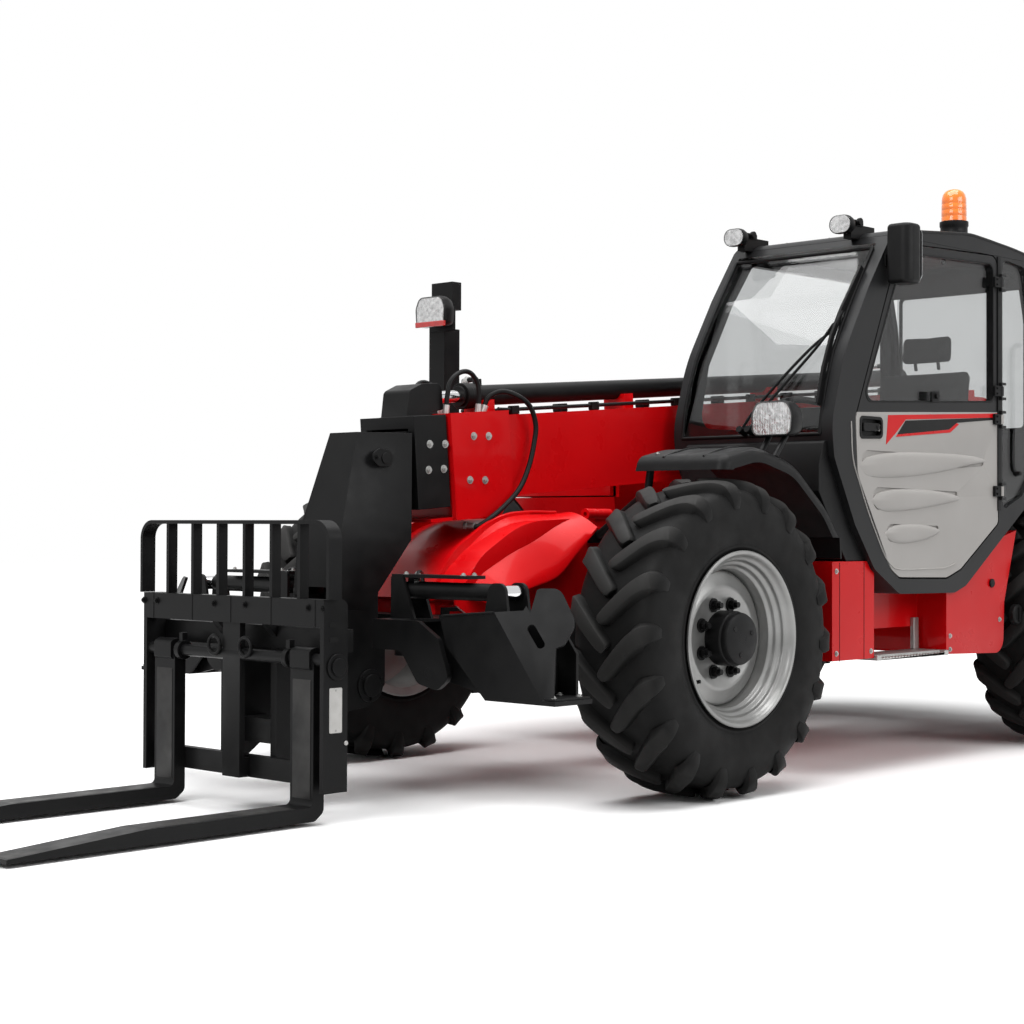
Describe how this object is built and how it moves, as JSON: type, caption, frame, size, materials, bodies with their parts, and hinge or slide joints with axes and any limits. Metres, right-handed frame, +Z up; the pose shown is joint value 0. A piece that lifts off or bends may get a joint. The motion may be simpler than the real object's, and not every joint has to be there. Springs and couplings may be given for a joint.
{
  "type": "telescopic handler (telehandler)",
  "caption": "Compact telescopic handler with a side cab, two-stage telescopic boom, fork carriage, front stabilizers and steered lugged wheels",
  "frame": {"origin": "on the ground under the middle of the whole machine with its forks", "axes": "+X forward, towards the fork tips; +Y to the machine's left, the cab side; +Z up"},
  "size_m": [6.43, 2.37, 2.602],
  "materials": {
    "red_paint": "glossy red paint",
    "black_paint": "satin black paint",
    "cab_grey": "satin dark grey paint",
    "door_grey": "satin light warm grey paint",
    "rim_silver": "satin silver paint",
    "tyre_rubber": "matte black rubber",
    "tinted_glass": "clear grey tinted glass",
    "chrome": "polished",
    "cast_iron": "black coated cast iron",
    "black_plastic": "moulded matte black",
    "beacon_orange": "glossy amber lens",
    "lamp_glass": "clear lens over a bright reflector",
    "seat_fabric": "dark woven",
    "step_metal": "bare toothed step"
  },
  "bodies": {
    "chassis": {"chassis_frame": "red_paint", "front_nose": "red_paint", "front_axle": "black_paint", "rear_axle": "black_paint", "counterweight": "black_paint", "engine_block": "cast_iron", "engine_cowl": "red_paint", "side_boxes": "red_paint", "cab_step": "step_metal", "cab_frame": "cab_grey", "cab_roof": "cab_grey", "cab_glass": "tinted_glass", "seat": "seat_fabric", "dashboard": "black_plastic", "corner_panel": "black_plastic", "front_mudguards": "black_plastic", "rear_mudguards": "black_plastic", "lamps": "lamp_glass", "lamp_brackets": "black_paint", "mirrors": "black_plastic", "beacon": "beacon_orange", "exhaust_pipe": "black_paint", "stabilizer_frame": "black_paint"},
    "engine_lid_body": {"engine_lid": "red_paint"},
    "door": {"door_frame": "cab_grey", "door_panel": "door_grey", "door_glass": "tinted_glass"},
    "steer_front_left": {"knuckle_front_left": "cast_iron"},
    "wheel_front_left": {"tyre_front_left": "tyre_rubber", "rim_front_left": "rim_silver"},
    "steer_front_right": {"knuckle_front_right": "cast_iron"},
    "wheel_front_right": {"tyre_front_right": "tyre_rubber", "rim_front_right": "rim_silver"},
    "steer_rear_left": {"knuckle_rear_left": "cast_iron"},
    "wheel_rear_left": {"tyre_rear_left": "tyre_rubber", "rim_rear_left": "rim_silver"},
    "steer_rear_right": {"knuckle_rear_right": "cast_iron"},
    "wheel_rear_right": {"tyre_rear_right": "tyre_rubber", "rim_rear_right": "rim_silver"},
    "boom": {"boom_outer": "red_paint", "telescope_barrel": "black_paint"},
    "middle_section": {"boom_middle": "black_paint", "telescope_rod": "chrome"},
    "inner_section": {"boom_inner": "black_paint"},
    "carriage": {"carriage_frame": "black_paint", "backrest": "black_paint", "forks": "black_paint"},
    "lift_barrel_body": {"lift_barrel": "black_paint"},
    "lift_rod_body": {"lift_rod": "chrome"},
    "tilt_barrel_body": {"tilt_barrel": "black_paint"},
    "tilt_rod_body": {"tilt_rod": "chrome"},
    "leg_left_body": {"leg_left": "black_paint"},
    "leg_barrel_left_body": {"leg_barrel_left": "black_paint"},
    "leg_rod_left_body": {"leg_rod_left": "chrome"},
    "leg_right_body": {"leg_right": "black_paint"},
    "leg_barrel_right_body": {"leg_barrel_right": "black_paint"},
    "leg_rod_right_body": {"leg_rod_right": "chrome"}
  },
  "joints": [
    {"name": "steering_front_left", "type": "hinge", "parent": "chassis", "child": "steer_front_left", "pos_m": [0.435, 0.72, 0.615], "axis": [0, 0, 1], "range_deg": [-28, 28]},
    {"name": "wheel_spin_front_left", "type": "hinge", "parent": "steer_front_left", "child": "wheel_front_left", "pos_m": [0.435, 0.94, 0.615], "axis": [0, 1, 0], "continuous": true},
    {"name": "steering_front_right", "type": "hinge", "parent": "chassis", "child": "steer_front_right", "pos_m": [0.435, -0.72, 0.615], "axis": [0, 0, 1], "range_deg": [-28, 28]},
    {"name": "wheel_spin_front_right", "type": "hinge", "parent": "steer_front_right", "child": "wheel_front_right", "pos_m": [0.435, -0.94, 0.615], "axis": [0, 1, 0], "continuous": true},
    {"name": "steering_rear_left", "type": "hinge", "parent": "chassis", "child": "steer_rear_left", "pos_m": [-2.415, 0.72, 0.615], "axis": [0, 0, 1], "range_deg": [-28, 28]},
    {"name": "wheel_spin_rear_left", "type": "hinge", "parent": "steer_rear_left", "child": "wheel_rear_left", "pos_m": [-2.415, 0.94, 0.615], "axis": [0, 1, 0], "continuous": true},
    {"name": "steering_rear_right", "type": "hinge", "parent": "chassis", "child": "steer_rear_right", "pos_m": [-2.415, -0.72, 0.615], "axis": [0, 0, 1], "range_deg": [-28, 28]},
    {"name": "wheel_spin_rear_right", "type": "hinge", "parent": "steer_rear_right", "child": "wheel_rear_right", "pos_m": [-2.415, -0.94, 0.615], "axis": [0, 1, 0], "continuous": true},
    {"name": "engine_lid_hinge", "type": "hinge", "parent": "chassis", "child": "engine_lid_body", "pos_m": [-1.065, -0.27, 1.414], "axis": [-1, 0, 0], "range_deg": [0, 60]},
    {"name": "cab_door_hinge", "type": "hinge", "parent": "chassis", "child": "door", "pos_m": [-1.61, 1.062, 1.5], "axis": [0, 0, 1], "range_deg": [0, 100]},
    {"name": "boom_lift", "type": "hinge", "parent": "chassis", "child": "boom", "pos_m": [-2.765, 0, 1.61], "axis": [0, -1, 0], "range_deg": [0, 70]},
    {"name": "boom_extend", "type": "slide", "parent": "boom", "child": "middle_section", "axis": [0.9968, 0, -0.0802], "range_m": [0, 2.7]},
    {"name": "boom_extend_inner", "type": "slide", "parent": "middle_section", "child": "inner_section", "axis": [0.9968, 0, -0.0802], "range_m": [0, 2.7]},
    {"name": "carriage_tilt", "type": "hinge", "parent": "inner_section", "child": "carriage", "pos_m": [1.475, 0, 0.44], "axis": [0, -1, 0], "range_deg": [-100, 12]},
    {"name": "lift_barrel_swing", "type": "hinge", "parent": "chassis", "child": "lift_barrel_body", "pos_m": [-2.515, 0, 0.92], "axis": [0, -1, 0], "range_deg": [0, 60.92]},
    {"name": "lift_rod_slide", "type": "slide", "parent": "lift_barrel_body", "child": "lift_rod_body", "axis": [0.9912, 0, 0.1322], "range_m": [0, 0.80413]},
    {"name": "tilt_barrel_swing", "type": "hinge", "parent": "inner_section", "child": "tilt_barrel_body", "pos_m": [1.385, 0, 1.3], "axis": [0, -1, 0], "range_deg": [-1.38, 10]},
    {"name": "tilt_rod_slide", "type": "slide", "parent": "tilt_barrel_body", "child": "tilt_rod_body", "axis": [0.1152, 0, -0.9933], "range_m": [-0.02769, 0.22343]},
    {"name": "leg_fold_left", "type": "hinge", "parent": "chassis", "child": "leg_left_body", "pos_m": [1.445, 0.6, 0.515], "axis": [-1, 0, 0], "range_deg": [0, 50]},
    {"name": "leg_barrel_swing_left", "type": "hinge", "parent": "chassis", "child": "leg_barrel_left_body", "pos_m": [1.445, 0.33, 0.805], "axis": [-1, 0, 0], "range_deg": [0, 24.87]},
    {"name": "leg_rod_slide_left", "type": "slide", "parent": "leg_barrel_left_body", "child": "leg_rod_left_body", "axis": [0, 1, 0], "range_m": [0, 0.19647]},
    {"name": "leg_fold_right", "type": "hinge", "parent": "chassis", "child": "leg_right_body", "pos_m": [1.445, -0.6, 0.515], "axis": [1, 0, 0], "range_deg": [0, 50]},
    {"name": "leg_barrel_swing_right", "type": "hinge", "parent": "chassis", "child": "leg_barrel_right_body", "pos_m": [1.445, -0.33, 0.805], "axis": [1, 0, 0], "range_deg": [0, 24.87]},
    {"name": "leg_rod_slide_right", "type": "slide", "parent": "leg_barrel_right_body", "child": "leg_rod_right_body", "axis": [0, -1, 0], "range_m": [0, 0.19647]}
  ],
  "couplings": [
    {"joint": "steering_front_right", "follows": "steering_front_left", "ratio": 1},
    {"joint": "steering_rear_right", "follows": "steering_rear_left", "ratio": 1},
    {"joint": "boom_extend_inner", "follows": "boom_extend", "ratio": 1},
    {"joint": "lift_barrel_swing", "follows": "boom_lift", "ratio": 0.86749},
    {"joint": "lift_rod_slide", "follows": "boom_lift", "m_per_rad": 0.65737},
    {"joint": "tilt_barrel_swing", "follows": "carriage_tilt", "ratio": -0.09802},
    {"joint": "tilt_rod_slide", "follows": "carriage_tilt", "m_per_rad": -0.12744},
    {"joint": "leg_barrel_swing_left", "follows": "leg_fold_left", "ratio": 0.49332},
    {"joint": "leg_rod_slide_left", "follows": "leg_fold_left", "m_per_rad": 0.224},
    {"joint": "leg_barrel_swing_right", "follows": "leg_fold_right", "ratio": 0.49332},
    {"joint": "leg_rod_slide_right", "follows": "leg_fold_right", "m_per_rad": 0.224}
  ]
}
